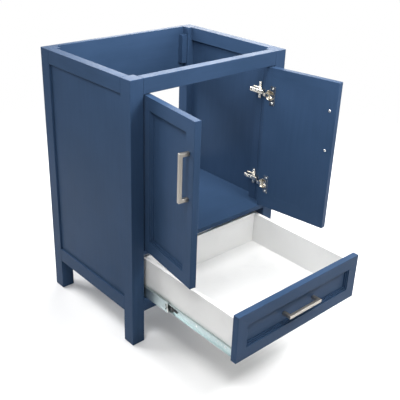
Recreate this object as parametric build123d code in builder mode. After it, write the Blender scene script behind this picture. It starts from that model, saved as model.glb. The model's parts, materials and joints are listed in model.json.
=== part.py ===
"""A freestanding bathroom vanity base cabinet, shown with both doors and the drawer open.

Four square posts carry top and bottom rails, thin recessed side panels and a floor board.
Two framed doors swing on concealed cup hinges, and a framed drawer runs on ball-bearing slides.
Row frame, in millimetres: X to the right, Y to the back, Z up. The origin is on the floor,
midway across the width and midway between the drawer's handle and the cabinet's back.
"""

from build123d import *
import os
from math import cos, radians, sin

os.makedirs("parts", exist_ok=True)

# ---- driving dimensions -------------------------------------------------------------------
cabinet_width = 610.0
cabinet_depth = 464.0
cabinet_height = 860.0
post_size = 45.0
rail_thickness = 30.0
top_rail_height = 45.0
bottom_rail_height = 48.0
leg_clearance = 113.0
side_panel_thickness = 12.0
side_panel_recess = 6.0
groove_depth = 6.5
tongue = 6.0
floor_thickness = 15.0
rear_rail_height = 190.0
rear_board = 18.0
eased_edge = 0.7
gap = 2.0

front_thickness = 20.0
drawer_front_height = 150.0
frame_width = 38.0
step_width = 4.0
step_depth = 3.5
step_count = 3
door_open_angle = 98.0
hinge_axis_inset = 10.0
hinge_axis_depth = 5.0

drawer_travel = 400.0
drawer_wall = 12.0
drawer_box_length = 410.0
drawer_box_height = 125.0
drawer_box_base = 168.0
drawer_bottom_thickness = 6.0
drawer_bottom_height = 10.0
slide_gap = 12.7
slide_height_from_floor = 184.0
slide_length = 400.0
intermediate_length = 310.0

handle_centres = 127.0
handle_bar_width = 10.0
handle_bar_depth = 9.0
handle_projection = 30.0
handle_from_edge = 22.0
door_handle_height = 660.0

hinge_low_height = 416.0
hinge_high_height = 723.0
cup_radius = 17.5
cup_depth = 11.5
cup_from_edge = 20.5

# ---- places worked out from them ----------------------------------------------------------
panel_depth = step_count * step_depth
moulding_width = frame_width + (step_count - 1) * step_width
half_width = cabinet_width / 2
inner_half = half_width - post_size
front = (drawer_travel + handle_projection - panel_depth - cabinet_depth) / 2
back = front + cabinet_depth
bottom_rail_top = leg_clearance + bottom_rail_height
drawer_front_base = bottom_rail_top + gap
floor_base = drawer_front_base + drawer_front_height + gap
floor_top = floor_base + floor_thickness
door_base = floor_top + gap
top_rail_base = cabinet_height - top_rail_height
door_height = top_rail_base - gap - door_base
door_width = inner_half - 1.5 * gap
panel_inner_half = half_width - side_panel_recess - side_panel_thickness
drawer_face = front - drawer_travel
box_front = drawer_face + front_thickness
box_back = box_front + drawer_box_length
box_half = inner_half - slide_gap
box_top = drawer_box_base + drawer_box_height
hinge_heights = (hinge_low_height, hinge_high_height)


def save(piece, name):
    """Label a finished piece and write its STEP file."""
    piece.part.label = name
    export_step(piece.part, f"parts/{name}.step")


def board(low, high, ease=eased_edge):
    """A planed board between two opposite corners, all its edges slightly eased."""
    size = [high[i] - low[i] for i in range(3)]
    middle = [(high[i] + low[i]) / 2 for i in range(2)]
    with BuildPart() as piece:
        with BuildSketch(Plane.XY.offset(low[2])):
            with Locations((middle[0], middle[1])):
                Rectangle(size[0], size[1])
        extrude(amount=size[2])
        if ease:
            chamfer(piece.edges(), length=ease)
    return piece


def mirrored(side, low_x, high_x):
    """The X limits of a piece, given for the right-hand side, on either side (-1 or +1)."""
    return (low_x, high_x) if side > 0 else (-high_x, -low_x)


# ---- screw holes shared by the hardware and the wood it is fixed to -----------------------
plate_screw_spread = 21.0
plate_screw_depth = 55.0
plate_screw_places = [
    (plate_screw_depth, height + spread)
    for height in hinge_heights
    for spread in (-plate_screw_spread, plate_screw_spread)
]
slide_screw_places = [(depth, slide_height_from_floor) for depth in (37.0, 165.0, 293.0)]
pilot_radius = 1.7
shank_radius = 1.65
pilot_length = 13.0


def inner_face(side, offset=0.0):
    """The plane of a pair of posts' inner faces, or one offset from it towards the middle.

    Its normal points into the posts, its x runs to the back, its y is up on the right-hand
    side and down on the left."""
    return Plane(origin=(side * (inner_half - offset), 0, 0), x_dir=(0, 1, 0), z_dir=(side, 0, 0))


def side_places(side, places):
    """Local places on inner_face for (depth from the cabinet's front, height) pairs."""
    return [(front + depth, height * side) for depth, height in places]


def discs(plane, places, radius):
    """Equal circles on a plane, for screws and for the holes they go in."""
    with BuildSketch(plane) as faces:
        for place in places:
            with Locations(place):
                Circle(radius)
    return faces.sketch


# ---- posts --------------------------------------------------------------------------------
panel_low = bottom_rail_top - tongue
panel_high = top_rail_base + tongue
groove_outer = half_width - side_panel_recess
groove_inner = groove_outer - side_panel_thickness

for side, side_name in ((-1, "left"), (1, "right")):
    outer_x = mirrored(side, inner_half, half_width)
    groove_x = (side * (groove_outer + groove_inner)) / 2
    for y_low, end_name in ((front, "front"), (back - post_size, "rear")):
        post = board((outer_x[0], y_low, 0), (outer_x[1], y_low + post_size, cabinet_height), 1.0)
        is_front = end_name == "front"
        groove_y = y_low + post_size - groove_depth / 2 if is_front else y_low + groove_depth / 2
        with BuildPart() as grooved_post:
            add(post.part)
            with BuildSketch(Plane.XY.offset(panel_low)):
                with Locations((groove_x, groove_y)):
                    Rectangle(side_panel_thickness, groove_depth)
            extrude(amount=panel_high - panel_low, mode=Mode.SUBTRACT)
            if is_front:
                places = side_places(side, slide_screw_places[:1])
                pilots = discs(inner_face(side), places, pilot_radius)
                extrude(pilots, amount=pilot_length, mode=Mode.SUBTRACT)
        save(grooved_post, f"{end_name}_{side_name}_post")

# ---- side rails, with the groove that holds the panel -------------------------------------
rail_front = front + post_size
rail_back = back - post_size

for side, side_name in ((-1, "left"), (1, "right")):
    rail_x = mirrored(side, half_width - rail_thickness, half_width)
    groove_x = side * (groove_outer + groove_inner) / 2
    levels = (
        ("bottom", leg_clearance, bottom_rail_top, bottom_rail_top - groove_depth),
        ("top", top_rail_base, cabinet_height, top_rail_base),
    )
    for level_name, low_z, high_z, groove_z in levels:
        rail = board((rail_x[0], rail_front, low_z), (rail_x[1], rail_back, high_z))
        with BuildPart() as grooved_rail:
            add(rail.part)
            with BuildSketch(Plane.XY.offset(groove_z)):
                with Locations((groove_x, (rail_front + rail_back) / 2)):
                    Rectangle(side_panel_thickness, rail_back - rail_front)
            extrude(amount=groove_depth, mode=Mode.SUBTRACT)
        save(grooved_rail, f"{side_name}_side_{level_name}_rail")

    panel_x = mirrored(side, groove_inner, groove_outer)
    side_panel = board(
        (panel_x[0], rail_front - tongue, panel_low),
        (panel_x[1], rail_back + tongue, panel_high),
        ease=0,
    )
    save(side_panel, f"{side_name}_side_panel")

# ---- front and rear rails -----------------------------------------------------------------
front_top_rail = board(
    (-inner_half, front, top_rail_base), (inner_half, front + rail_thickness, cabinet_height)
)
save(front_top_rail, "front_top_rail")

front_bottom_rail = board(
    (-inner_half, front, leg_clearance), (inner_half, front + rail_thickness, bottom_rail_top)
)
save(front_bottom_rail, "front_bottom_rail")

rear_top_rail = board(
    (-inner_half, back - rear_board, cabinet_height - rear_rail_height),
    (inner_half, back, cabinet_height),
)
save(rear_top_rail, "rear_top_rail")

rear_bottom_rail = board(
    (-inner_half, back - rear_board, leg_clearance), (inner_half, back, bottom_rail_top)
)
save(rear_bottom_rail, "rear_bottom_rail")

# ---- cabinet floor: a board between the side panels, notched round the four posts ---------
floor_back = back - rear_board
notch_depth = (floor_back - (back - post_size), post_size)

with BuildPart() as cabinet_floor:
    with BuildSketch(Plane.XY.offset(floor_base)):
        with Locations((0, (front + floor_back) / 2)):
            Rectangle(2 * panel_inner_half, floor_back - front)
        for side in (-1, 1):
            with Locations((side * (panel_inner_half + inner_half) / 2, front + post_size / 2)):
                Rectangle(panel_inner_half - inner_half, post_size, mode=Mode.SUBTRACT)
            with Locations((side * (panel_inner_half + inner_half) / 2, floor_back - notch_depth[0] / 2)):
                Rectangle(panel_inner_half - inner_half, notch_depth[0], mode=Mode.SUBTRACT)
    extrude(amount=floor_thickness)
    front_edges = cabinet_floor.edges().filter_by(Axis.X).group_by(Axis.Y)[0]
    chamfer(front_edges, length=eased_edge)
save(cabinet_floor, "cabinet_floor")

# ---- door stop: a strip under the front top rail that the closed doors' tops meet ---------
stop_half_length = 77.0
stop_height = 7.0
stop_front = front + front_thickness + 1.0
door_stop = board(
    (-stop_half_length, stop_front, top_rail_base - stop_height),
    (stop_half_length, front + rail_thickness, top_rail_base),
    ease=0.5,
)
save(door_stop, "door_stop")

# ---- corner blocks glued where the rear top rail meets the posts --------------------------
block_size = 21.0
block_low = 733.0
block_high = 835.0

with BuildPart() as corner_blocks:
    with BuildSketch(Plane.XY.offset(block_low)):
        for side in (-1, 1):
            with Locations((side * (inner_half - block_size / 2), back - rear_board - block_size / 2)):
                Rectangle(block_size, block_size)
    extrude(amount=block_high - block_low)
    chamfer(corner_blocks.edges(), length=0.8)
save(corner_blocks, "corner_blocks")

# ---- mounting packers: they bring the slides and hinge plates out flush with the posts ----
packer_thickness = panel_inner_half - inner_half
packer_middle = (panel_inner_half + inner_half) / 2
slide_packer_height = 48.0
hinge_packer_depth = 28.0
hinge_packer_base = floor_base + floor_thickness
with BuildPart() as mounting_packers:
    with BuildSketch(Plane.XY.offset(bottom_rail_top)):
        for side in (-1, 1):
            with Locations((side * packer_middle, (rail_front + rail_back) / 2)):
                Rectangle(packer_thickness, rail_back - rail_front)
    extrude(amount=slide_packer_height)
    with BuildSketch(Plane.XY.offset(hinge_packer_base)):
        for side in (-1, 1):
            with Locations((side * packer_middle, rail_front + hinge_packer_depth / 2)):
                Rectangle(packer_thickness, hinge_packer_depth)
    extrude(amount=top_rail_base - hinge_packer_base)
    for side in (-1, 1):
        places = side_places(side, slide_screw_places[1:] + plate_screw_places)
        pilots = discs(inner_face(side), places, pilot_radius)
        extrude(pilots, amount=pilot_length, mode=Mode.SUBTRACT)
save(mounting_packers, "mounting_packers")

# ---- framed fronts: the two doors and the drawer front ------------------------------------
def framed_front(plane, width, height, names, bores):
    """Four mitred frame members with a stepped inner edge, and the flat panel they hold.

    The plane lies on the front's face, with its origin at the lower left corner. Names are
    those of the left, right, top and bottom members and of the panel. Bores gives, for a
    name, its round holes from the back as (places, radius, depth)."""
    with BuildPart() as frame:
        with BuildSketch(plane.offset(-front_thickness)):
            with Locations((width / 2, height / 2)):
                Rectangle(width, height)
        extrude(amount=front_thickness)
        chamfer(frame.edges(), length=eased_edge)
        for step in range(step_count):
            inset = frame_width + step * step_width
            with BuildSketch(plane.offset(-step * step_depth)):
                with Locations((width / 2, height / 2)):
                    Rectangle(width - 2 * inset, height - 2 * inset)
            extrude(amount=-step_depth, mode=Mode.SUBTRACT)
        with BuildSketch(plane.offset(-front_thickness)):
            with Locations((width / 2, height / 2)):
                Rectangle(width - 2 * moulding_width, height - 2 * moulding_width)
        extrude(amount=front_thickness, mode=Mode.SUBTRACT)

    reach = 1.2 * moulding_width
    corners = ((0, 0), (width, 0), (width, height), (0, height))
    inner = ((reach, reach), (width - reach, reach), (width - reach, height - reach), (reach, height - reach))
    sides = ((0, 3), (2, 1), (3, 2), (1, 0))
    for name, (first, second) in zip(names, sides):
        with BuildPart() as member:
            add(frame.part)
            with BuildSketch(plane.offset(-front_thickness)):
                with BuildLine():
                    Polyline(corners[first], inner[first], inner[second], corners[second], close=True)
                make_face()
            extrude(amount=front_thickness, mode=Mode.INTERSECT)
            for places, radius, depth in bores.get(name, ()):
                holes = discs(plane.offset(-front_thickness), places, radius)
                extrude(holes, amount=depth, mode=Mode.SUBTRACT)
        save(member, name)

    with BuildPart() as panel:
        with BuildSketch(plane.offset(-front_thickness)):
            with Locations((width / 2, height / 2)):
                Rectangle(width - 2 * moulding_width, height - 2 * moulding_width)
        extrude(amount=front_thickness - panel_depth)
        for places, radius, depth in bores.get(names[-1], ()):
            holes = discs(plane.offset(-front_thickness), places, radius)
            extrude(holes, amount=depth, mode=Mode.SUBTRACT)
    save(panel, names[-1])


# ---- bar handles --------------------------------------------------------------------------
handle_screw_radius = 2.0
handle_thread_depth = 14.0


def handle_feet(centre, upright):
    """The places of a handle's two legs."""
    half = handle_centres / 2
    offsets = ((0, -half), (0, half)) if upright else ((-half, 0), (half, 0))
    return [(centre[0] + u, centre[1] + v) for u, v in offsets]


def bar_handle(plane, centre, upright, name):
    """A square bar pull on two legs, each leg tapped for its screw.

    The plane lies on the surface the legs stand on."""
    feet = handle_feet(centre, upright)
    long_side = handle_centres + handle_bar_width
    bar_size = (handle_bar_width, long_side) if upright else (long_side, handle_bar_width)
    with BuildPart() as handle:
        with BuildSketch(plane):
            with Locations(*feet):
                Rectangle(handle_bar_width, handle_bar_width)
        extrude(amount=handle_projection)
        with BuildSketch(plane.offset(handle_projection - handle_bar_depth)):
            with Locations(centre):
                Rectangle(*bar_size)
        extrude(amount=handle_bar_depth)
        chamfer(handle.edges(), length=0.6)
        extrude(discs(plane, feet, handle_screw_radius), amount=handle_thread_depth, mode=Mode.SUBTRACT)
    save(handle, name)


# ---- doors, swung open about their hinge axes ---------------------------------------------
handle_hole_radius = 2.2
handle_screw_bite = 12.0
handle_head_radius = 4.2
handle_head_height = 2.0
flange_thickness = 1.5
flange_half_height = 31.5
flange_width = 18.0
flange_edge = 39.0
flange_radius = 18.5
cup_fit = 0.1
cup_wall = 1.0
cup_screw_offset = 9.5
cup_screw_spread = 24.0
cup_screw_hole = 1.6
cup_screw_bite = 9.5
cup_head_radius = 3.6
cup_head_height = 1.4


def hinge_axis(side):
    """Where a door's hinge axis crosses the floor plane."""
    return (side * (inner_half - hinge_axis_inset), front + hinge_axis_depth)


def door_plane(side):
    """The face of an open door, with its origin at the door's lower left corner when closed."""
    turn = radians(side * door_open_angle)
    pivot_x, pivot_y = hinge_axis(side)
    closed_x = -inner_half + gap if side < 0 else gap / 2
    arm_x, arm_y = closed_x - pivot_x, front - pivot_y
    corner = (
        pivot_x + arm_x * cos(turn) - arm_y * sin(turn),
        pivot_y + arm_x * sin(turn) + arm_y * cos(turn),
        door_base,
    )
    return Plane(origin=corner, x_dir=(cos(turn), sin(turn), 0), z_dir=(sin(turn), -cos(turn), 0))


def from_hinge_edge(side, distance):
    """The local u of a line at a distance from a door's hinge edge."""
    return distance if side < 0 else door_width - distance


for side, side_name in ((-1, "left"), (1, "right")):
    plane = door_plane(side)
    back_plane = plane.offset(-front_thickness)
    cup_u = from_hinge_edge(side, cup_from_edge)
    wing_u = from_hinge_edge(side, flange_edge - flange_width / 2)
    screw_u = from_hinge_edge(side, cup_from_edge + cup_screw_offset)
    handle_u = from_hinge_edge(side, door_width - handle_from_edge)
    cup_places = [(cup_u, height - door_base) for height in hinge_heights]
    cup_screws = [
        (screw_u, height - door_base + spread)
        for height in hinge_heights
        for spread in (-cup_screw_spread, cup_screw_spread)
    ]
    handle_centre = (handle_u, door_handle_height - door_base)
    feet = handle_feet(handle_centre, upright=True)

    hinge_stile = f"{side_name}_door_hinge_stile"
    handle_stile = f"{side_name}_door_handle_stile"
    stiles = (hinge_stile, handle_stile) if side < 0 else (handle_stile, hinge_stile)
    names = stiles + (f"{side_name}_door_top_rail", f"{side_name}_door_bottom_rail")
    bores = {
        hinge_stile: (
            (cup_places, cup_radius, cup_depth),
            (cup_screws, cup_screw_hole, cup_screw_bite + cup_fit),
        ),
        handle_stile: ((feet, handle_hole_radius, front_thickness),),
    }
    framed_front(plane, door_width, door_height, names + (f"{side_name}_door_panel",), bores)
    bar_handle(plane, handle_centre, True, f"{side_name}_door_handle")

    with BuildPart() as hinge_cups:
        with BuildSketch(back_plane.offset(-flange_thickness)):
            with Locations(*cup_places):
                Circle(flange_radius)
            with Locations(*[(wing_u, v) for _, v in cup_places]):
                Rectangle(flange_width, 2 * flange_half_height)
        extrude(amount=flange_thickness)
        extrude(discs(back_plane, cup_places, cup_radius - cup_fit), amount=cup_depth - cup_fit)
        bowls = discs(back_plane.offset(-flange_thickness), cup_places, cup_radius - cup_fit - cup_wall)
        extrude(bowls, amount=flange_thickness + cup_depth - cup_fit - cup_wall, mode=Mode.SUBTRACT)
        holes = discs(back_plane.offset(-flange_thickness), cup_screws, cup_screw_hole)
        extrude(holes, amount=flange_thickness, mode=Mode.SUBTRACT)
    save(hinge_cups, f"{side_name}_hinge_cups")

    with BuildPart() as door_screws:
        extrude(discs(back_plane, feet, handle_screw_radius), amount=front_thickness + handle_screw_bite)
        extrude(discs(back_plane, feet, handle_head_radius), amount=-handle_head_height)
        flange_face = back_plane.offset(-flange_thickness)
        shanks = discs(flange_face, cup_screws, cup_screw_hole - cup_fit)
        extrude(shanks, amount=cup_screw_bite + flange_thickness)
        extrude(discs(flange_face, cup_screws, cup_head_radius), amount=-cup_head_height)
    save(door_screws, f"{side_name}_door_screws")

# ---- hinge links: curved straps between each arm and its cup, about the hinge axis --------
link_inner_radius = 19.0
link_outer_radius = 22.0
link_start = -33.0
link_span = 97.0
link_half_height = 5.0

for side, side_name in ((-1, "left"), (1, "right")):
    axis_point = hinge_axis(side)
    first_angle = link_start if side < 0 else 180.0 - link_start - link_span
    with BuildPart() as hinge_links:
        for height in hinge_heights:
            with BuildSketch(Plane.XY.offset(height - link_half_height)):
                with BuildLine():
                    outer = CenterArc(axis_point, link_outer_radius, first_angle, link_span)
                    inner = CenterArc(axis_point, link_inner_radius, first_angle, link_span)
                    Line(outer @ 0, inner @ 0)
                    Line(outer @ 1, inner @ 1)
                make_face()
            extrude(amount=2 * link_half_height)
    save(hinge_links, f"{side_name}_hinge_links")

# ---- hinge mounting plates and arms on the posts' inner faces -----------------------------
plate_thickness = 2.5
plate_front = 50.0
arm_front = 24.0
hinge_rear = 84.0
wing_depth = 10.0
wing_half_height = 27.0
plate_half_height = 9.0
plate_screw_hole = 2.1
arm_height = 16.5
arm_wall = 1.5
arm_half_height = 7.5
arm_roof_front = 29.0

with BuildPart() as hinge_mounting_plates:
    for side in (-1, 1):
        seat = inner_face(side, plate_thickness)
        centres = side_places(side, [((plate_front + hinge_rear) / 2, z) for z in hinge_heights])
        wings = side_places(side, [(plate_front + wing_depth / 2, z) for z in hinge_heights])
        with BuildSketch(seat):
            with Locations(*centres):
                Rectangle(hinge_rear - plate_front, 2 * plate_half_height)
            with Locations(*wings):
                Rectangle(wing_depth, 2 * wing_half_height)
        extrude(amount=plate_thickness)
        plate_screws = side_places(side, plate_screw_places)
        extrude(discs(seat, plate_screws, plate_screw_hole), amount=plate_thickness, mode=Mode.SUBTRACT)
save(hinge_mounting_plates, "hinge_mounting_plates")

with BuildPart() as hinge_arms:
    for side in (-1, 1):
        seat = inner_face(side, plate_thickness)
        centres = side_places(side, [((arm_front + hinge_rear) / 2, z) for z in hinge_heights])
        noses = side_places(side, [((arm_front + arm_roof_front) / 2, z) for z in hinge_heights])
        with BuildSketch(seat):
            with Locations(*centres):
                Rectangle(hinge_rear - arm_front, 2 * arm_half_height)
        extrude(amount=-arm_height)
        with BuildSketch(seat):
            with Locations(*centres):
                Rectangle(hinge_rear - arm_front, 2 * (arm_half_height - arm_wall))
        extrude(amount=-(arm_height - arm_wall), mode=Mode.SUBTRACT)
        with BuildSketch(seat):
            with Locations(*noses):
                Rectangle(arm_roof_front - arm_front, 2 * (arm_half_height - arm_wall))
        extrude(amount=-arm_height, mode=Mode.SUBTRACT)
save(hinge_arms, "hinge_arms")

# ---- drawer front, its handle and the box behind it ---------------------------------------
drawer_front_width = 2 * (inner_half - gap)
drawer_plane = Plane(
    origin=(-inner_half + gap, drawer_face, drawer_front_base), x_dir=(1, 0, 0), z_dir=(0, -1, 0)
)
drawer_handle_centre = (drawer_front_width / 2, drawer_front_height / 2)
drawer_feet = handle_feet(drawer_handle_centre, upright=False)
drawer_names = (
    "drawer_front_left_stile",
    "drawer_front_right_stile",
    "drawer_front_top_rail",
    "drawer_front_bottom_rail",
    "drawer_front_panel",
)
drawer_bores = {"drawer_front_panel": ((drawer_feet, handle_hole_radius, front_thickness),)}
framed_front(drawer_plane, drawer_front_width, drawer_front_height, drawer_names, drawer_bores)
bar_handle(drawer_plane.offset(-panel_depth), drawer_handle_centre, False, "drawer_handle")

drawer_groove_base = drawer_box_base + drawer_bottom_height
drawer_groove_depth = 6.2
wall_inner = box_half - drawer_wall
member_screw_places = (30.0, 150.0, 290.0)
member_screw_radius = 1.5
member_screw_bite = 5.0


def member_face(side, offset=0.0):
    """The outer face of a drawer side, or a plane offset from it towards the slide."""
    return Plane(origin=(side * (box_half + offset), 0, 0), x_dir=(0, 1, 0), z_dir=(-side, 0, 0))


def member_places(side, places):
    """Local places on member_face for distances behind the drawer box's front."""
    return [(box_front + place, -side * slide_height_from_floor) for place in places]


for side, side_name in ((-1, "left"), (1, "right")):
    wall_x = mirrored(side, wall_inner, box_half)
    wall = board((wall_x[0], box_front, drawer_box_base), (wall_x[1], box_back, box_top))
    with BuildPart() as drawer_side:
        add(wall.part)
        with BuildSketch(Plane.XY.offset(drawer_groove_base)):
            with Locations((side * (wall_inner + drawer_groove_depth / 2), (box_front + box_back) / 2)):
                Rectangle(drawer_groove_depth, drawer_box_length - 2 * (drawer_wall - drawer_groove_depth))
        extrude(amount=drawer_bottom_thickness, mode=Mode.SUBTRACT)
        pilots = discs(member_face(side), member_places(side, member_screw_places), member_screw_radius)
        extrude(pilots, amount=member_screw_bite, mode=Mode.SUBTRACT)
    save(drawer_side, f"drawer_{side_name}_side")

sub_front_board = board(
    (-wall_inner, box_front, drawer_box_base), (wall_inner, box_front + drawer_wall, box_top)
)
with BuildPart() as drawer_sub_front:
    add(sub_front_board.part)
    with BuildSketch(Plane.XY.offset(drawer_groove_base)):
        with Locations((0, box_front + drawer_wall - drawer_groove_depth / 2)):
            Rectangle(2 * wall_inner, drawer_groove_depth)
    extrude(amount=drawer_bottom_thickness, mode=Mode.SUBTRACT)
    feet_holes = discs(drawer_plane.offset(-front_thickness), drawer_feet, handle_hole_radius)
    extrude(feet_holes, amount=-drawer_wall, mode=Mode.SUBTRACT)
save(drawer_sub_front, "drawer_sub_front")

back_board = board(
    (-wall_inner, box_back - drawer_wall, drawer_box_base), (wall_inner, box_back, box_top)
)
with BuildPart() as drawer_back:
    add(back_board.part)
    with BuildSketch(Plane.XY.offset(drawer_groove_base)):
        with Locations((0, box_back - drawer_wall + drawer_groove_depth / 2)):
            Rectangle(2 * wall_inner, drawer_groove_depth)
    extrude(amount=drawer_bottom_thickness, mode=Mode.SUBTRACT)
save(drawer_back, "drawer_back")

drawer_bottom = board(
    (-wall_inner - tongue, box_front + drawer_wall - tongue, drawer_groove_base),
    (wall_inner + tongue, box_back - drawer_wall + tongue, drawer_groove_base + drawer_bottom_thickness),
    ease=0,
)
save(drawer_bottom, "drawer_bottom")

# ---- drawer slides: three nested channels on each side ------------------------------------
sheet = 1.2
cabinet_member_start = front_thickness + 1.5
slide_half_heights = {"cabinet": 22.5, "intermediate": 17.5, "drawer": 13.0}
cabinet_member_width = 10.5
intermediate_web = 3.5
intermediate_width = 7.3
drawer_member_width = 6.8
intermediate_front = -110.0
drawer_member_hole = 2.6
drawer_member_hole_places = (46.0, 62.0)
screw_clearance = 0.4


def channel(side, web_offset, opens_in, width, half_height, start, length):
    """A folded C-channel along Y. It opens towards the drawer if opens_in, else away from it.

    Web offset is the outer face of its web, from the plane of the posts' inner faces."""
    towards_middle = -side if opens_in else side
    web_x = side * (inner_half - web_offset)
    section = Plane(origin=(0, front + start, 0), x_dir=(1, 0, 0), z_dir=(0, -1, 0))
    with BuildPart() as member:
        with BuildSketch(section):
            with Locations((web_x + towards_middle * width / 2, slide_height_from_floor)):
                Rectangle(width, 2 * half_height)
            with Locations((web_x + towards_middle * (width + sheet) / 2, slide_height_from_floor)):
                Rectangle(width - sheet, 2 * (half_height - sheet), mode=Mode.SUBTRACT)
        extrude(amount=-length)
    return member


lever_pivot = -120.0
lever_pin_radius = 1.5
lever_pin_clearance = 0.3
lever_offset = 2.1
lever_thickness = 2.0
lever_length = 32.0
lever_width = 6.0
lever_tail = 5.0
prong_length = 24.0
prong_width = 4.4
prong_angle = 48.0
drawer_screw_holes = member_screw_radius + screw_clearance

for side, side_name in ((-1, "left"), (1, "right")):
    cabinet_channel = channel(
        side,
        0.0,
        True,
        cabinet_member_width,
        slide_half_heights["cabinet"],
        cabinet_member_start,
        slide_length,
    )
    with BuildPart() as cabinet_member:
        add(cabinet_channel.part)
        places = side_places(side, slide_screw_places)
        holes = discs(inner_face(side, sheet), places, plate_screw_hole)
        extrude(holes, amount=sheet, mode=Mode.SUBTRACT)
    save(cabinet_member, f"{side_name}_slide_cabinet_member")

    intermediate = channel(
        side,
        intermediate_web,
        True,
        intermediate_width,
        slide_half_heights["intermediate"],
        intermediate_front,
        intermediate_length,
    )
    save(intermediate, f"{side_name}_slide_intermediate_member")

    drawer_channel = channel(
        side,
        slide_gap,
        False,
        drawer_member_width,
        slide_half_heights["drawer"],
        box_front - front,
        slide_length,
    )
    with BuildPart() as drawer_member:
        add(drawer_channel.part)
        web_face = member_face(side, sheet)
        holes = discs(web_face, member_places(side, member_screw_places), drawer_screw_holes)
        extrude(holes, amount=sheet, mode=Mode.SUBTRACT)
        open_holes = discs(web_face, member_places(side, drawer_member_hole_places), drawer_member_hole)
        extrude(open_holes, amount=sheet, mode=Mode.SUBTRACT)
        pin_place = [(front + lever_pivot, -side * slide_height_from_floor)]
        pin = discs(web_face, pin_place, lever_pin_radius)
        extrude(pin, amount=-(lever_offset - sheet + lever_thickness))
    save(drawer_member, f"{side_name}_slide_drawer_member")

    with BuildPart() as release_lever:
        with BuildSketch(member_face(side, lever_offset)):
            with Locations((front + lever_pivot + lever_tail - lever_length / 2, pin_place[0][1])):
                Rectangle(lever_length, lever_width)
            with Locations(pin_place[0]):
                Rectangle(prong_length, prong_width, rotation=prong_angle)
                Rectangle(prong_length, prong_width, rotation=-prong_angle)
        extrude(amount=-lever_thickness)
        bore = discs(member_face(side, lever_offset), pin_place, lever_pin_radius + lever_pin_clearance)
        extrude(bore, amount=-lever_thickness, mode=Mode.SUBTRACT)
    save(release_lever, f"{side_name}_slide_release_lever")

# ---- slide bearings: rows of balls in flat cages between the channels ---------------------
ball_rows = (
    # ball radius, centre's offset from the posts, centre's half-height, start, length, balls
    (1.6, 7.0, 19.4, 25.0, 150.0, 8),
    (1.35, 8.7, 14.65, -100.0, 110.0, 6),
)
cage_half_thickness = 0.3
cage_margin = 0.5
ball_clearance = 0.1

with BuildPart() as slide_bearings:
    for side in (-1, 1):
        for radius, offset, half_height, start, length, count in ball_rows:
            row_x = side * (inner_half - offset)
            pitch = length / count
            for level in (-half_height, half_height):
                height = slide_height_from_floor + level
                places = [(row_x, front + start + pitch * (i + 0.5)) for i in range(count)]
                with BuildSketch(Plane.XY.offset(height - cage_half_thickness)):
                    with Locations((row_x, front + start + length / 2)):
                        Rectangle(2 * (radius + cage_margin), length)
                    with Locations(*places):
                        Circle(radius + ball_clearance, mode=Mode.SUBTRACT)
                extrude(amount=2 * cage_half_thickness)
                with Locations(*[(x, y, height) for x, y in places]):
                    Sphere(radius)
save(slide_bearings, "slide_bearings")

# ---- screws of the cabinet and of the drawer ----------------------------------------------
screw_bite = 12.5
plate_head_radius = 3.8
plate_head_height = 1.8
slide_head_radius = 3.2
slide_head_height = 1.3

with BuildPart() as cabinet_screws:
    for side in (-1, 1):
        plate_screws = side_places(side, plate_screw_places)
        slide_screws = side_places(side, slide_screw_places)
        kinds = (
            (plate_screws, plate_thickness, plate_head_radius, plate_head_height),
            (slide_screws, sheet, slide_head_radius, slide_head_height),
        )
        for places, seat_offset, head_radius, head_height in kinds:
            seat = inner_face(side, seat_offset)
            extrude(discs(seat, places, shank_radius), amount=seat_offset + screw_bite)
            extrude(discs(seat, places, head_radius), amount=-head_height)
save(cabinet_screws, "cabinet_screws")

with BuildPart() as drawer_screws:
    sub_front_back = drawer_plane.offset(-front_thickness - drawer_wall)
    handle_shank = drawer_wall + front_thickness - panel_depth + handle_screw_bite
    extrude(discs(sub_front_back, drawer_feet, handle_screw_radius), amount=handle_shank)
    extrude(discs(sub_front_back, drawer_feet, handle_head_radius), amount=-handle_head_height)
    for side in (-1, 1):
        seat = member_face(side, sheet)
        places = member_places(side, member_screw_places)
        extrude(discs(seat, places, member_screw_radius), amount=sheet + member_screw_bite)
        extrude(discs(seat, places, slide_head_radius), amount=-slide_head_height)
save(drawer_screws, "drawer_screws")
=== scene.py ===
"""Looks for a freestanding vanity base: navy lacquered wood, a white drawer box, and metal hardware."""
import json
from math import cos, pi, radians, sin

import bmesh
import bpy
from mathutils import Matrix, Vector


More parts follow.
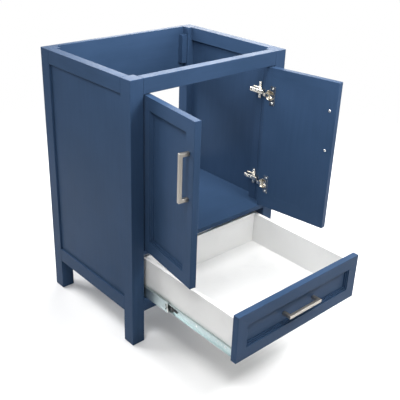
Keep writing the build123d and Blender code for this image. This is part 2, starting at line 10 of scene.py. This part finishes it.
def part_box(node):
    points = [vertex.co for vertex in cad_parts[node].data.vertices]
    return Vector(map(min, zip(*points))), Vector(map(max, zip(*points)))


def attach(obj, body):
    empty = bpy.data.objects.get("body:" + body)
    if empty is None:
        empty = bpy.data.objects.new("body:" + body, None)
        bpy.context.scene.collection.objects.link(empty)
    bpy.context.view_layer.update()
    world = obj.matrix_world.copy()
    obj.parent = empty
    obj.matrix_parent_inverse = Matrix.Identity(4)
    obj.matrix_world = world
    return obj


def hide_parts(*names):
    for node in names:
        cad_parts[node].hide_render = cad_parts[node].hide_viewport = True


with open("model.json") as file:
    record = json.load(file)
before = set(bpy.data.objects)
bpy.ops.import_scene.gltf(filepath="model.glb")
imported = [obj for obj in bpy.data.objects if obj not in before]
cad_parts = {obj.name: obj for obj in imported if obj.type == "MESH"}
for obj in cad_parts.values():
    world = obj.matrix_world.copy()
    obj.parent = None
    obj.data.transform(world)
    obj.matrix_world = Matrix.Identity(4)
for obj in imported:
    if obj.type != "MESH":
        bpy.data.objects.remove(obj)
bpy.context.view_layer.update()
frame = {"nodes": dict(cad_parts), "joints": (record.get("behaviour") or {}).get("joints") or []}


# ---- the lacquered cabinet, doors and drawer front ------------------------------------------
# Solid wood posts, rails and frames with flat board panels, sprayed with a satin navy lacquer.
# The spray leaves a fine orange peel, and the wood's grain still shows faintly along each member.
class Field:
    """A value that varies over a surface, written in ordinary arithmetic."""

    def __init__(self, graph, socket):
        self.graph = graph
        self.socket = socket

    def maths(self, operation, *others):
        sockets = dict(enumerate((self, *others)))
        return self.graph.node("Math", {"operation": operation}, sockets)

    def __add__(self, other):
        return self.maths("ADD", other)

    def __radd__(self, other):
        return self.maths("ADD", other)

    def __sub__(self, other):
        return self.maths("SUBTRACT", other)

    def __rsub__(self, other):
        return self.graph.node("Math", {"operation": "SUBTRACT"}, {0: other, 1: self})

    def __mul__(self, other):
        return self.maths("MULTIPLY", other)

    def __rmul__(self, other):
        return self.maths("MULTIPLY", other)

    def step(self, low, high):
        """0 below low, 1 above high, and a smooth rise between them."""
        settings = {"interpolation_type": "SMOOTHSTEP"}
        return self.graph.node("MapRange", settings, {0: self, 1: low, 2: high})


class Graph:
    """A node tree, and one way to add any node to it."""

    def __init__(self, tree):
        self.tree = tree

    def feed(self, node, name, value):
        if isinstance(value, Field):
            self.tree.links.new(value.socket, node.inputs[name])
        elif isinstance(value, tuple) and node.inputs[name].type == "RGBA":
            node.inputs[name].default_value = (*value, 1.0)
        else:
            node.inputs[name].default_value = value

    def node(self, kind, settings, sockets, output=0):
        """Any node: its settings first, then the values or links of its sockets."""
        node = self.tree.nodes.new("ShaderNode" + kind)
        for name, value in settings.items():
            setattr(node, name, value)
        for name, value in sockets.items():
            self.feed(node, name, value)
        return Field(self, node.outputs[output])


class Finish(Graph):
    """A named material: a Principled shader, and the nodes that vary its colour, gloss and relief."""

    def __init__(self, name, **shader_values):
        self.material = bpy.data.materials.new(name)
        self.material.use_nodes = True
        super().__init__(self.material.node_tree)
        self.shader = self.tree.nodes["Principled BSDF"]
        self.shaded = Field(self, self.shader.outputs["BSDF"])
        self.places = self.node("TexCoord", {}, {}, "Object")
        for socket, value in shader_values.items():
            self.feed(self.shader, socket.replace("_", " "), value)

    def noise(self, cell, detail=2.0, stretch=(1.0, 1.0, 1.0)):
        """Soft noise whose cells are about that many metres across, times stretch along each axis."""
        scale = tuple(1.0 / (cell * s) for s in stretch)
        spread = self.node("Mapping", {}, {"Vector": self.places, "Scale": scale})
        return self.node("TexNoise", {}, {"Vector": spread, "Scale": 1.0, "Detail": detail})

    def between(self, share, first, second):
        """The colour between two colours, by a share from 0 to 1."""
        sockets = {0: share, 6: first, 7: second}
        return self.node("Mix", {"data_type": "RGBA"}, sockets, 2)

    def finish(self, colour, roughness, relief, depth, edge=0.0006):
        """Joins the fields to the shader. Relief stands up to depth metres off it, and edges are eased."""
        eased = self.node("Bevel", {"samples": 4}, {"Radius": edge})
        sockets = {"Height": relief, "Distance": depth, "Strength": 1.0, "Normal": eased}
        normal = self.node("Bump", {}, sockets)
        self.feed(self.shader, "Base Color", colour)
        self.feed(self.shader, "Roughness", roughness)
        self.feed(self.shader, "Normal", normal)
        return self.material


def dress(material, *nodes):
    """Gives CAD nodes a material."""
    for name in nodes:
        piece = frame["nodes"][name]
        for place in piece.material_slots:
            place.material = material


navy_deep = (0.024, 0.0485, 0.096)
navy_light = (0.031, 0.060, 0.119)
ALONG_X, ALONG_Y, ALONG_Z = (12.0, 1.0, 1.0), (1.0, 12.0, 1.0), (1.0, 1.0, 12.0)


def navy_lacquer(name, grain):
    """Satin navy lacquer over wood whose grain runs along one axis."""
    lacquer = Finish(name, Specular_IOR_Level=0.045)
    cloud = lacquer.noise(0.22, 3.0)
    fibres = lacquer.noise(0.0016, 4.0, grain)
    figure = lacquer.noise(0.011, 3.0, grain)
    peel = lacquer.noise(0.0022, 1.0)
    handled = lacquer.noise(0.06, 4.0).step(0.45, 0.75)
    tone = cloud * 0.6 + figure * 0.25 + fibres * 0.15
    colour = lacquer.between(tone.step(0.3, 0.7), navy_deep, navy_light)
    roughness = 0.33 + figure * 0.08 + handled * 0.06
    relief = peel * 0.45 + fibres * 0.4 + figure * 0.3
    return lacquer.finish(colour, roughness, relief, 0.00012, edge=0.0005)


upright_navy = navy_lacquer("navy_lacquer_upright_grain", ALONG_Z)
across_navy = navy_lacquer("navy_lacquer_grain_across", ALONG_X)
deep_navy = navy_lacquer("navy_lacquer_grain_front_to_back", ALONG_Y)

dress(upright_navy, "front_left_post", "front_right_post", "rear_left_post", "rear_right_post",
      "left_side_panel", "right_side_panel", "corner_blocks", "mounting_packers",
      "drawer_front_left_stile", "drawer_front_right_stile")
dress(across_navy, "front_top_rail", "front_bottom_rail", "rear_top_rail", "rear_bottom_rail",
      "cabinet_floor", "drawer_front_top_rail", "drawer_front_bottom_rail", "drawer_front_panel")
dress(deep_navy, "left_side_top_rail", "left_side_bottom_rail", "right_side_top_rail",
      "right_side_bottom_rail")
for side in ("left", "right"):
    dress(upright_navy, f"{side}_door_hinge_stile", f"{side}_door_handle_stile", f"{side}_door_panel")
    dress(deep_navy, f"{side}_door_top_rail", f"{side}_door_bottom_rail")


# ---- the drawer box -------------------------------------------------------------------------
# White coated board, smooth and slightly glossy, with the faint ripple of a rolled coating and
# a little grey where hands and dust reach.
clean_white, rubbed_white = (0.70, 0.70, 0.69), (0.64, 0.64, 0.635)


def white_coating():
    coating = Finish("white_drawer_coating", Specular_IOR_Level=0.45)
    cloud = coating.noise(0.18, 3.0)
    ripple = coating.noise(0.0035, 2.0)
    rubbed = coating.noise(0.045, 4.0).step(0.5, 0.8)
    colour = coating.between(cloud * 0.7 + rubbed * 0.3, clean_white, rubbed_white)
    roughness = 0.36 + rubbed * 0.10 + ripple * 0.05
    return coating.finish(colour, roughness, ripple, 0.00008)


dress(white_coating(), "drawer_left_side", "drawer_right_side", "drawer_sub_front", "drawer_back",
      "drawer_bottom")


# ---- the bar handles ------------------------------------------------------------------------
# Square die-cast bars in warm nickel, brushed along their length, so the lines run up the door
# handles and across the drawer's.
dark_nickel, light_nickel = (0.33, 0.31, 0.28), (0.42, 0.395, 0.36)
stroke_stretch = 4.0


def brushed_nickel(name, grain):
    nickel = Finish(name, Metallic=1.0)
    strokes = nickel.noise(0.0005, 3.0, tuple(stroke_stretch * g for g in grain))
    patches = nickel.noise(0.03, 2.0)
    colour = nickel.between(strokes * 0.6 + patches * 0.4, dark_nickel, light_nickel)
    roughness = 0.30 + strokes * 0.12 + patches * 0.05
    return nickel.finish(colour, roughness, strokes, 0.00003)


dress(brushed_nickel("brushed_nickel_upright", ALONG_Z), "left_door_handle", "right_door_handle")
dress(brushed_nickel("brushed_nickel_across", ALONG_X), "drawer_handle")


# ---- the concealed hinges -------------------------------------------------------------------
# Pressed steel with bright nickel plate: plates screwed to the cabinet, arms clipped over them,
# cups sunk in the doors, and a curved link that runs from each arm into its cup.
def plated_steel(name, low, high, gloss):
    """Plate whose haze runs between two colours. Gloss is its least roughness."""
    plate = Finish(name, Metallic=1.0)
    haze = plate.noise(0.012, 4.0)
    grit = plate.noise(0.0009, 2.0)
    colour = plate.between(haze, low, high)
    roughness = gloss + haze * 0.10 + grit * 0.06
    return plate.finish(colour, roughness, haze * 0.5 + grit * 0.5, 0.00005)


hinge_nickel = plated_steel("hinge_nickel_plate", (0.62, 0.59, 0.53), (0.78, 0.75, 0.69), 0.16)
dress(hinge_nickel, "hinge_mounting_plates", "left_hinge_links", "right_hinge_links",
      "left_hinge_cups", "right_hinge_cups")


# ---- hinge arms -----------------------------------------------------------------------------
# Each arm is a folded steel channel clipped over its mounting plate. Its long corners are rounded,
# its cheeks slope back at the front to let the link out, and a slot in its roof takes a screw.
touching, squarely = 1e-5, 0.9


def choose(piece, kind, wanted):
    """In edit mode, selects only the "verts", "edges" or "faces" that pass a test."""
    modes = {"verts": "VERT", "edges": "EDGE", "faces": "FACE"}
    bpy.ops.mesh.select_mode(type=modes[kind])
    bpy.ops.mesh.select_all(action="DESELECT")
    shape = bmesh.from_edit_mesh(piece.data)
    for part in getattr(shape, kind):
        if wanted(part):
            part.select_set(True)
    shape.select_flush_mode()
    bmesh.update_edit_mesh(piece.data)


def settle(piece, name):
    """Names a piece and puts its place and size into its mesh."""
    piece.name = piece.data.name = name
    bpy.ops.object.transform_apply(location=True, rotation=True, scale=True)
    return piece


def block(name, low, high):
    """A box between two corners."""
    bpy.ops.object.select_all(action="DESELECT")
    bpy.ops.mesh.primitive_cube_add(size=1.0, location=(Vector(low) + Vector(high)) / 2)
    bpy.context.object.scale = Vector(high) - Vector(low)
    return settle(bpy.context.object, name)


def apply_modifier(piece, kind, **settings):
    """Adds a modifier with its settings, and applies it."""
    bpy.ops.object.select_all(action="DESELECT")
    bpy.context.view_layer.objects.active = piece
    modifier = piece.modifiers.new(kind.lower(), kind)
    for name, value in settings.items():
        setattr(modifier, name, value)
    bpy.ops.object.modifier_apply(modifier=modifier.name)


def level(edge):
    """Whether an edge lies flat, with both its ends at one height."""
    return abs(edge.verts[0].co.z - edge.verts[1].co.z) < touching


def cut_away(piece, cutter):
    """Cuts the cutter's shape out of a piece, and drops the cutter."""
    apply_modifier(piece, "BOOLEAN", object=cutter, solver="EXACT")
    bpy.data.objects.remove(cutter)


def copy_to(piece, place):
    """A copy of a piece with its own mesh, moved by a matrix."""
    twin = piece.copy()
    twin.data = piece.data.copy()
    twin.data.transform(place)
    if place.determinant() < 0:
        twin.data.flip_normals()
    bpy.context.scene.collection.objects.link(twin)
    return twin


def one_piece(name, parts):
    """Joins parts to one smooth-shaded piece of that name."""
    bpy.ops.object.select_all(action="DESELECT")
    for part in parts:
        part.select_set(True)
    bpy.context.view_layer.objects.active = parts[0]
    bpy.ops.object.join()
    bpy.ops.object.shade_smooth_by_angle(angle=radians(32.0))
    parts[0].name = parts[0].data.name = name
    return parts[0]


def fit(piece, material, body):
    """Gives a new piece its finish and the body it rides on."""
    piece.data.materials.clear()
    piece.data.materials.append(material)
    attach(piece, body)


arm_low, arm_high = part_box("hinge_arms")
arm_height, arm_half_width, arm_wall = 0.0165, 0.0075, 0.0015
arm_round, cheek_slope = 0.0035, 0.005
slot_half_width, slot_rear, slot_length = 0.0022, 0.006, 0.014
hinge_heights = (arm_low.z + arm_half_width, arm_high.z - arm_half_width)
upper_hinge = hinge_heights[1]
roof = arm_high.x - arm_height

arm = block("hinge_arm", (roof, arm_low.y, upper_hinge - arm_half_width), arm_high)
bpy.ops.object.mode_set(mode="EDIT")
choose(arm, "faces", lambda face: face.normal.x > squarely or abs(face.normal.y) > squarely)
bpy.ops.mesh.delete(type="FACE")
choose(arm, "verts", lambda vert: vert.co.x < roof + touching and vert.co.y < arm_low.y + touching)
bpy.ops.transform.translate(value=(0.0, cheek_slope, 0.0))
choose(arm, "edges", lambda edge: all(v.co.x < roof + touching for v in edge.verts) and level(edge))
bpy.ops.mesh.bevel(offset=arm_round, segments=4, affect="EDGES")
bpy.ops.object.mode_set(mode="OBJECT")
apply_modifier(arm, "SOLIDIFY", thickness=arm_wall, offset=-1.0)
slot_end = arm_high.y - slot_rear
cutter = block("arm_slot",
               (roof - arm_wall, slot_end - slot_length, upper_hinge - slot_half_width),
               (roof + 2 * arm_wall, slot_end, upper_hinge + slot_half_width))
cut_away(arm, cutter)

drop = Matrix.Translation((0.0, 0.0, hinge_heights[0] - upper_hinge))
mirror = Matrix.Scale(-1.0, 4, (1.0, 0.0, 0.0))
other_arms = [copy_to(arm, place) for place in (drop, mirror, mirror @ drop)]
arms = one_piece("hinge_arm_channels", [arm, *other_arms])
fit(arms, hinge_nickel, "cabinet")
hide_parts("hinge_arms")


# ---- link rivets ----------------------------------------------------------------------------
# A steel pin through each end of a curved link, with its ends peened over, one in the arm and one
# in the cup.
link_radius, rivet_radius, rivet_length, rivet_round = 0.0205, 0.0016, 0.0116, 0.0006
rivet_angles = (-29.0, 60.0)
joints = {joint["name"]: joint for joint in frame["joints"]}
for side, facing in (("left", 1), ("right", -1)):
    axis_x, axis_y, _ = joints[f"{side}_door_hinge"]["pos_m"]
    rivets = []
    for height in hinge_heights:
        for angle in rivet_angles:
            place = (axis_x + facing * link_radius * cos(radians(angle)),
                     axis_y + link_radius * sin(radians(angle)), height)
            bpy.ops.object.select_all(action="DESELECT")
            bpy.ops.mesh.primitive_cylinder_add(vertices=20, radius=rivet_radius, depth=rivet_length,
                                                location=place)
            rivet = settle(bpy.context.object, "link_rivet")
            bpy.ops.object.mode_set(mode="EDIT")
            choose(rivet, "edges", level)
            bpy.ops.mesh.bevel(offset=rivet_round, segments=3, affect="EDGES")
            bpy.ops.object.mode_set(mode="OBJECT")
            rivets.append(rivet)
    fit(one_piece(f"{side}_link_rivets", rivets), hinge_nickel, f"{side}_hinge_links")


# ---- the drawer slides ----------------------------------------------------------------------
# Three rolled steel channels a side with a pale blue-green zinc plate. The inner two ride on rows
# of steel balls; the outer one is screwed to the cabinet and the inner one to the drawer box.
zinc = plated_steel("zinc_plate", (0.36, 0.43, 0.44), (0.54, 0.62, 0.62), 0.26)
ball_steel = plated_steel("ball_steel", (0.60, 0.60, 0.60), (0.72, 0.72, 0.72), 0.12)
for side in ("left", "right"):
    dress(zinc, *(f"{side}_slide_{member}_member" for member in ("cabinet", "intermediate", "drawer")))
dress(ball_steel, "slide_bearings")


# ---- release levers and door stop -----------------------------------------------------------
# Moulded black plastic with a fine spark-eroded grain. The levers turn on the drawer's slide members.
# The door stop, a short strip under the front top rail, gets the same black as painted shade for the
# rail's shadow on it.
deep_black, worn_black = (0.010, 0.010, 0.011), (0.022, 0.022, 0.023)


def black_plastic():
    plastic = Finish("black_lever_plastic")
    grain = plastic.noise(0.0006, 2.0)
    flow = plastic.noise(0.01, 2.0)
    colour = plastic.between(flow, deep_black, worn_black)
    return plastic.finish(colour, 0.42 + grain * 0.18, grain, 0.00006)


lever_black_and_door_stop_shade = black_plastic()
# The levers and slide stops are black plastic; the door stop's black is painted shade, for the shadow
# under the front top rail.
dress(lever_black_and_door_stop_shade, "left_slide_release_lever", "right_slide_release_lever", "door_stop")


# ---- slide races ----------------------------------------------------------------------------
# The intermediate member is rolled with a groove along its web, so its two edges stand proud. It is
# the same zinc-plated steel as the rest of the slide.
race_low, race_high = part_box("right_slide_intermediate_member")
race_thickness, race_lip, race_slope, race_depth = 0.0009, 0.0045, 0.0008, 0.0007
web_face = race_high.x
race = block("slide_race",
             (web_face, race_low.y, race_low.z),
             (web_face + race_thickness, race_high.y, race_high.z))
bpy.ops.object.mode_set(mode="EDIT")
choose(race, "faces", lambda face: face.normal.x > squarely)
bpy.ops.mesh.inset(thickness=race_lip, depth=0.0)
bpy.ops.mesh.inset(thickness=race_slope, depth=-race_depth)
bpy.ops.object.mode_set(mode="OBJECT")
races = one_piece("slide_races", [race, copy_to(race, mirror)])
fit(races, zinc, "slide_intermediates")


# ---- slide end clips ------------------------------------------------------------------------
# A wavy white plastic strip closes the front end of each intermediate member, and a small black
# arrow-shaped stop is snapped into the web behind it.
strip_round = 0.0003
bright_clip, dull_clip = (0.82, 0.81, 0.78), (0.76, 0.75, 0.72)


def bent_strip(name, low, high, cuts, push):
    """An upright strip whose rings are pushed forward by an amount that depends on their height."""
    strip = block(name, low, high)
    bpy.ops.object.mode_set(mode="EDIT")
    choose(strip, "edges", lambda edge: not level(edge))
    bpy.ops.mesh.subdivide(number_cuts=cuts)
    for ring in range(cuts + 2):
        share = ring / (cuts + 1)
        height = low[2] + share * (high[2] - low[2])
        choose(strip, "verts", lambda vert: abs(vert.co.z - height) < touching)
        bpy.ops.transform.translate(value=(0.0, -push(share), 0.0))
    bpy.ops.object.mode_set(mode="OBJECT")
    apply_modifier(strip, "BEVEL", width=strip_round, segments=2)
    return strip


def white_plastic():
    plastic = Finish("white_clip_plastic")
    grain = plastic.noise(0.0008, 2.0)
    colour = plastic.between(plastic.noise(0.01), bright_clip, dull_clip)
    return plastic.finish(colour, 0.4 + grain * 0.12, grain, 0.00005)


clip_proud, clip_sunk, clip_width, clip_wave = 0.0014, 0.001, 0.0026, 0.002
clip_margin, stop_gap, stop_width, stop_point = 0.001, 0.0075, 0.0034, 0.0045
stop_half_height, clip_cuts, stop_cuts = 0.009, 11, 1
race_middle = (race_low.z + race_high.z) / 2
stop_front = race_low.y + stop_gap
clip = bent_strip("slide_end_clip",
                  (web_face - clip_sunk, race_low.y, race_low.z + clip_margin),
                  (web_face + clip_proud, race_low.y + clip_width, race_high.z - clip_margin),
                  clip_cuts, lambda share: clip_wave * sin(2 * pi * share))
clips = one_piece("slide_end_clips", [clip, copy_to(clip, mirror)])
fit(clips, white_plastic(), "slide_intermediates")

stop = bent_strip("slide_stop",
                  (web_face - clip_sunk, stop_front, race_middle - stop_half_height),
                  (web_face + clip_proud, stop_front + stop_width, race_middle + stop_half_height),
                  stop_cuts, lambda share: stop_point * (1 - abs(2 * share - 1)))
stops = one_piece("slide_stops", [stop, copy_to(stop, mirror)])
fit(stops, lever_black_and_door_stop_shade, "slide_intermediates")


# ---- screws ---------------------------------------------------------------------------------
# Nickel-plated steel screws with a cross recess in a domed head: one size for each place, driven
# through the hinge plates, slides and cups, and through the doors and drawer into the handles.
dome_share, recess_reach, recess_width, recess_depth = 0.75, 0.55, 0.13, 0.55
tip_share, tip_taper = 1.5, 0.3
same_corner = 1e-6


def pan_screw(head_radius, head_height, shank_radius, length):
    """A screw that points down, with the underside of its head on the origin's plane."""
    bpy.ops.object.select_all(action="DESELECT")
    bpy.ops.mesh.primitive_cylinder_add(vertices=28, radius=head_radius, depth=head_height,
                                        location=(0.0, 0.0, head_height / 2))
    screw = settle(bpy.context.object, "pan_screw")
    tip = tip_share * shank_radius
    bpy.ops.object.mode_set(mode="EDIT")
    choose(screw, "edges", lambda edge: all(v.co.z > head_height - touching for v in edge.verts))
    bpy.ops.mesh.bevel(offset=dome_share * head_height, segments=5, affect="EDGES")
    choose(screw, "faces", lambda face: face.normal.z < -squarely)
    bpy.ops.mesh.inset(thickness=head_radius - shank_radius, depth=0.0)
    bpy.ops.mesh.extrude_region_move(TRANSFORM_OT_translate={"value": (0.0, 0.0, tip - length)})
    bpy.ops.mesh.extrude_region_move(TRANSFORM_OT_translate={"value": (0.0, 0.0, -tip)})
    bpy.ops.transform.resize(value=(tip_taper, tip_taper, 1.0))
    bpy.ops.object.mode_set(mode="OBJECT")
    reach, half_width = recess_reach * head_radius, recess_width * head_radius
    bottom, above = head_height - recess_depth * head_height, 2 * head_height
    for half_x, half_y in ((reach, half_width), (half_width, reach)):
        recess = block("recess", (-half_x, -half_y, bottom), (half_x, half_y, above))
        cut_away(screw, recess)
    return screw


def loose_solids(node):
    """The separate solids of a CAD node, each as a list of its corner points."""
    shape = bmesh.new()
    shape.from_mesh(frame["nodes"][node].data)
    bmesh.ops.remove_doubles(shape, verts=shape.verts, dist=same_corner)
    waiting = set(shape.verts)
    solids = []
    while waiting:
        found = [waiting.pop()]
        for corner in found:
            for edge in corner.link_edges:
                other = edge.other_vert(corner)
                if other in waiting:
                    waiting.remove(other)
                    found.append(other)
        solids.append([corner.co.copy() for corner in found])
    shape.free()
    return solids


screw_sizes = {}
near_rim = 0.95


def screw_like(solid, axis):
    """A pan screw of the size and place of a CAD screw that lies along an axis."""
    middle = sum(solid, Vector()) / len(solid)
    along = [(point - middle).dot(axis) for point in solid]
    across = [(point - middle - run * axis).length for point, run in zip(solid, along)]
    head_radius = max(across)
    head = [run for run, offset in zip(along, across) if offset > near_rim * head_radius]
    if sum(head) < 0:
        return screw_like(solid, -axis)
    seat = min(head)
    size = (head_radius, max(head) - seat, min(across), seat - min(along))
    key = tuple(round(length, 5) for length in size)
    if key not in screw_sizes:
        screw_sizes[key] = pan_screw(*size)
    turn = axis.to_track_quat("Z", "Y").to_matrix().to_4x4()
    return copy_to(screw_sizes[key], Matrix.Translation(middle + seat * axis) @ turn)


def door_back(side):
    """Which way the back of an open door faces."""
    hinge = joints[f"{side}_door_hinge"]
    turn = radians(hinge["range_deg"][0] * hinge["axis"][2])
    return Matrix.Rotation(-turn, 3, "Z") @ Vector((0.0, 1.0, 0.0))


screw_plate = plated_steel("screw_plate", (0.66, 0.66, 0.65), (0.80, 0.80, 0.79), 0.2)
sideways, forward = Vector((1.0, 0.0, 0.0)), Vector((0.0, 1.0, 0.0))
slide_reach = 0.2
screw_axes = {
    "cabinet": lambda solid: sideways,
    "drawer": lambda solid: sideways if abs(solid[0].x) > slide_reach else forward,
    "left_door": lambda solid: door_back("left"),
    "right_door": lambda solid: door_back("right"),
}
for body, axis_of in screw_axes.items():
    made = [screw_like(solid, axis_of(solid)) for solid in loose_solids(f"{body}_screws")]
    screws = one_piece(f"{body}_pan_screws", made)
    fit(screws, screw_plate, body)
    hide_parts(f"{body}_screws")

roof_screw_length, roof_head_share, roof_shank_share = 0.008, 0.45, 0.5
rear_screw, front_screw = (0.013, 0.0034), (0.031, 0.0028)
roof_turn = (-sideways).to_track_quat("Z", "Y").to_matrix().to_4x4()
roof_screws = []
for from_rear, head_radius in (rear_screw, front_screw):
    driven = pan_screw(head_radius, roof_head_share * head_radius, roof_shank_share * head_radius,
                       roof_screw_length)
    spot = Matrix.Translation((roof, arm_high.y - from_rear, upper_hinge)) @ roof_turn
    roof_screws += [copy_to(driven, place @ spot) for place in (Matrix(), drop, mirror, mirror @ drop)]
    bpy.data.objects.remove(driven)
fit(one_piece("arm_screws", roof_screws), screw_plate, "cabinet")
for master in screw_sizes.values():
    bpy.data.objects.remove(master)


# ---- the studio -----------------------------------------------------------------------------
# A pale floor that fades into a white surround, and seven soft boxes. The strongest stand behind on
# the left and at the right, and weaker ones behind on the right, above, in front and at the left.
def softbox(name, place, target, size, power):
    """A soft rectangular light, aimed at a point, that the camera doesn't see."""
    lamp = bpy.data.lights.new(name, "AREA")
    lamp.shape = "RECTANGLE"
    lamp.size, lamp.size_y = size
    lamp.energy = power
    holder = bpy.data.objects.new(name, lamp)
    holder.location = place
    holder.rotation_euler = (Vector(target) - Vector(place)).to_track_quat("-Z", "Y").to_euler()
    holder.visible_camera = False
    bpy.context.scene.collection.objects.link(holder)


fade_start, fade_end, floor_drop = 1.0, 2.4, 0.0005
bpy.ops.object.select_all(action="DESELECT")
bpy.ops.mesh.primitive_circle_add(vertices=96, radius=fade_end, fill_type="NGON",
                                  location=(0.0, 0.0, -floor_drop))
floor = bpy.context.object
floor.name = "studio_floor"
pale = Finish("pale_floor")
pale.finish((0.9, 0.9, 0.9), 0.7, pale.noise(0.02), 0.0001)
from_middle = pale.node("VectorMath", {"operation": "LENGTH"}, {0: pale.places}, "Value")
clear = pale.node("BsdfTransparent", {}, {})
faded = pale.node("MixShader", {}, {0: from_middle.step(fade_start, fade_end), 1: pale.shaded, 2: clear})
pale.feed(pale.tree.nodes["Material Output"], "Surface", faded)
floor.data.materials.append(pale.material)

surround = bpy.data.worlds.new("white_surround")
surround.use_nodes = True
sky = Graph(surround.node_tree)
surround_light, reflected_light, backdrop_light = 0.1, 0.6, 1.0
mirrored = sky.node("LightPath", {}, {}, "Is Glossy Ray")
dome_light = surround_light + mirrored * (reflected_light - surround_light)
dome = sky.node("Background", {}, {"Strength": dome_light})
backdrop = sky.node("Background", {}, {"Strength": backdrop_light})
seen = sky.node("LightPath", {}, {}, "Is Camera Ray")
both = sky.node("MixShader", {}, {0: seen, 1: dome, 2: backdrop})
sky.feed(surround.node_tree.nodes["World Output"], "Surface", both)
for background in surround.node_tree.nodes:
    if background.type == "BACKGROUND":
        background.inputs["Color"].default_value = (1.0, 1.0, 1.0, 1.0)
bpy.context.scene.world = surround
bpy.context.scene.view_settings.view_transform = "Standard"

softbox("rear_right_light", (1.9, 2.3, 2.2), (0.0, 0.0, 0.8), (2.5, 1.8), 14.0)
softbox("rear_low_light", (1.9, 2.1, 1.5), (0.0, 0.0, 0.8), (1.6, 0.9), 27.0)
softbox("rear_left_light", (-1.2, 2.4, 2.0), (0.0, 0.0, 0.8), (2.0, 1.5), 92.0)
softbox("right_light", (2.3, -0.4, 1.7), (0.0, 0.0, 0.5), (1.5, 1.5), 104.0)
softbox("top_light", (0.0, 0.1, 1.5), (0.0, 0.05, 0.5), (0.5, 0.4), 9.5)
softbox("front_light", (0.15, -0.95, 1.35), (0.0, -0.1, 0.7), (0.45, 0.35), 13.5)
softbox("left_light", (-0.8, -0.4, 1.6), (0.1, -0.1, 0.5), (0.5, 0.5), 14.5)

camera_place = (-1.3003, -1.3837, 1.3479)
camera_tilt, camera_roll, camera_heading = 64.585, -1.384, -40.649
camera = bpy.data.cameras.new("studio_camera")
camera.lens = 59.64
camera.shift_x, camera.shift_y = 0.0375, -0.025
viewpoint = bpy.data.objects.new("studio_camera", camera)
viewpoint.location = camera_place
viewpoint.rotation_euler = [radians(a) for a in (camera_tilt, camera_roll, camera_heading)]
bpy.context.scene.collection.objects.link(viewpoint)
bpy.context.scene.camera = viewpoint
